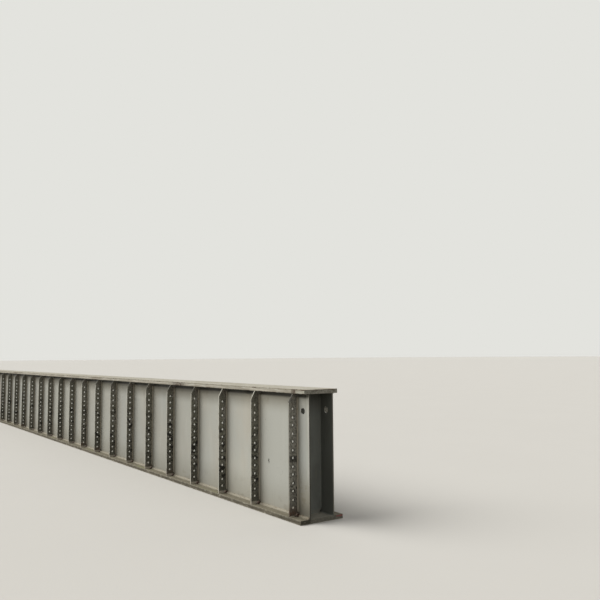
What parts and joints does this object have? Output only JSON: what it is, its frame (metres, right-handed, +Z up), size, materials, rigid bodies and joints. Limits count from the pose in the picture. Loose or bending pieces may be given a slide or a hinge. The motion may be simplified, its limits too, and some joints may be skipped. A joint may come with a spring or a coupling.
{
  "type": "steel girder",
  "caption": "Long welded steel box plate girder with two webs, wide flanges, drilled vertical stiffeners and open ends with lifting holes.",
  "frame": {"origin": "middle of the bottom flange's underside", "axes": "+X along the girder, -Y its front, +Z up"},
  "size_m": [24.5, 0.48, 1.2],
  "materials": {
    "painted_steel": "weathered pale grey-green paint on welded plate, dusty, with rust at edges and feet",
    "inner_steel": "dull grey-green primer inside the box"
  },
  "bodies": {
    "root": {"back_web": "painted_steel", "bottom_flange": "painted_steel", "diaphragm_01": "inner_steel", "diaphragm_02": "inner_steel", "diaphragm_03": "inner_steel", "diaphragm_04": "inner_steel", "diaphragm_05": "inner_steel", "diaphragm_06": "inner_steel", "diaphragm_07": "inner_steel", "front_web": "painted_steel", "stiffener_pair_01": "painted_steel", "stiffener_pair_02": "painted_steel", "stiffener_pair_03": "painted_steel", "stiffener_pair_04": "painted_steel", "stiffener_pair_05": "painted_steel", "stiffener_pair_06": "painted_steel", "stiffener_pair_07": "painted_steel", "stiffener_pair_08": "painted_steel", "stiffener_pair_09": "painted_steel", "stiffener_pair_10": "painted_steel", "stiffener_pair_11": "painted_steel", "stiffener_pair_12": "painted_steel", "stiffener_pair_13": "painted_steel", "stiffener_pair_14": "painted_steel", "stiffener_pair_15": "painted_steel", "stiffener_pair_16": "painted_steel", "stiffener_pair_17": "painted_steel", "stiffener_pair_18": "painted_steel", "stiffener_pair_19": "painted_steel", "stiffener_pair_20": "painted_steel", "stiffener_pair_21": "painted_steel", "stiffener_pair_22": "painted_steel", "stiffener_pair_23": "painted_steel", "stiffener_pair_24": "painted_steel", "stiffener_pair_25": "painted_steel", "stiffener_pair_26": "painted_steel", "stiffener_pair_27": "painted_steel", "stiffener_pair_28": "painted_steel", "stiffener_pair_29": "painted_steel", "stiffener_pair_30": "painted_steel", "stiffener_pair_31": "painted_steel", "stiffener_pair_32": "painted_steel", "stiffener_pair_33": "painted_steel", "stiffener_pair_34": "painted_steel", "stiffener_pair_35": "painted_steel", "stiffener_pair_36": "painted_steel", "stiffener_pair_37": "painted_steel", "top_flange": "painted_steel"}
  },
  "joints": []
}
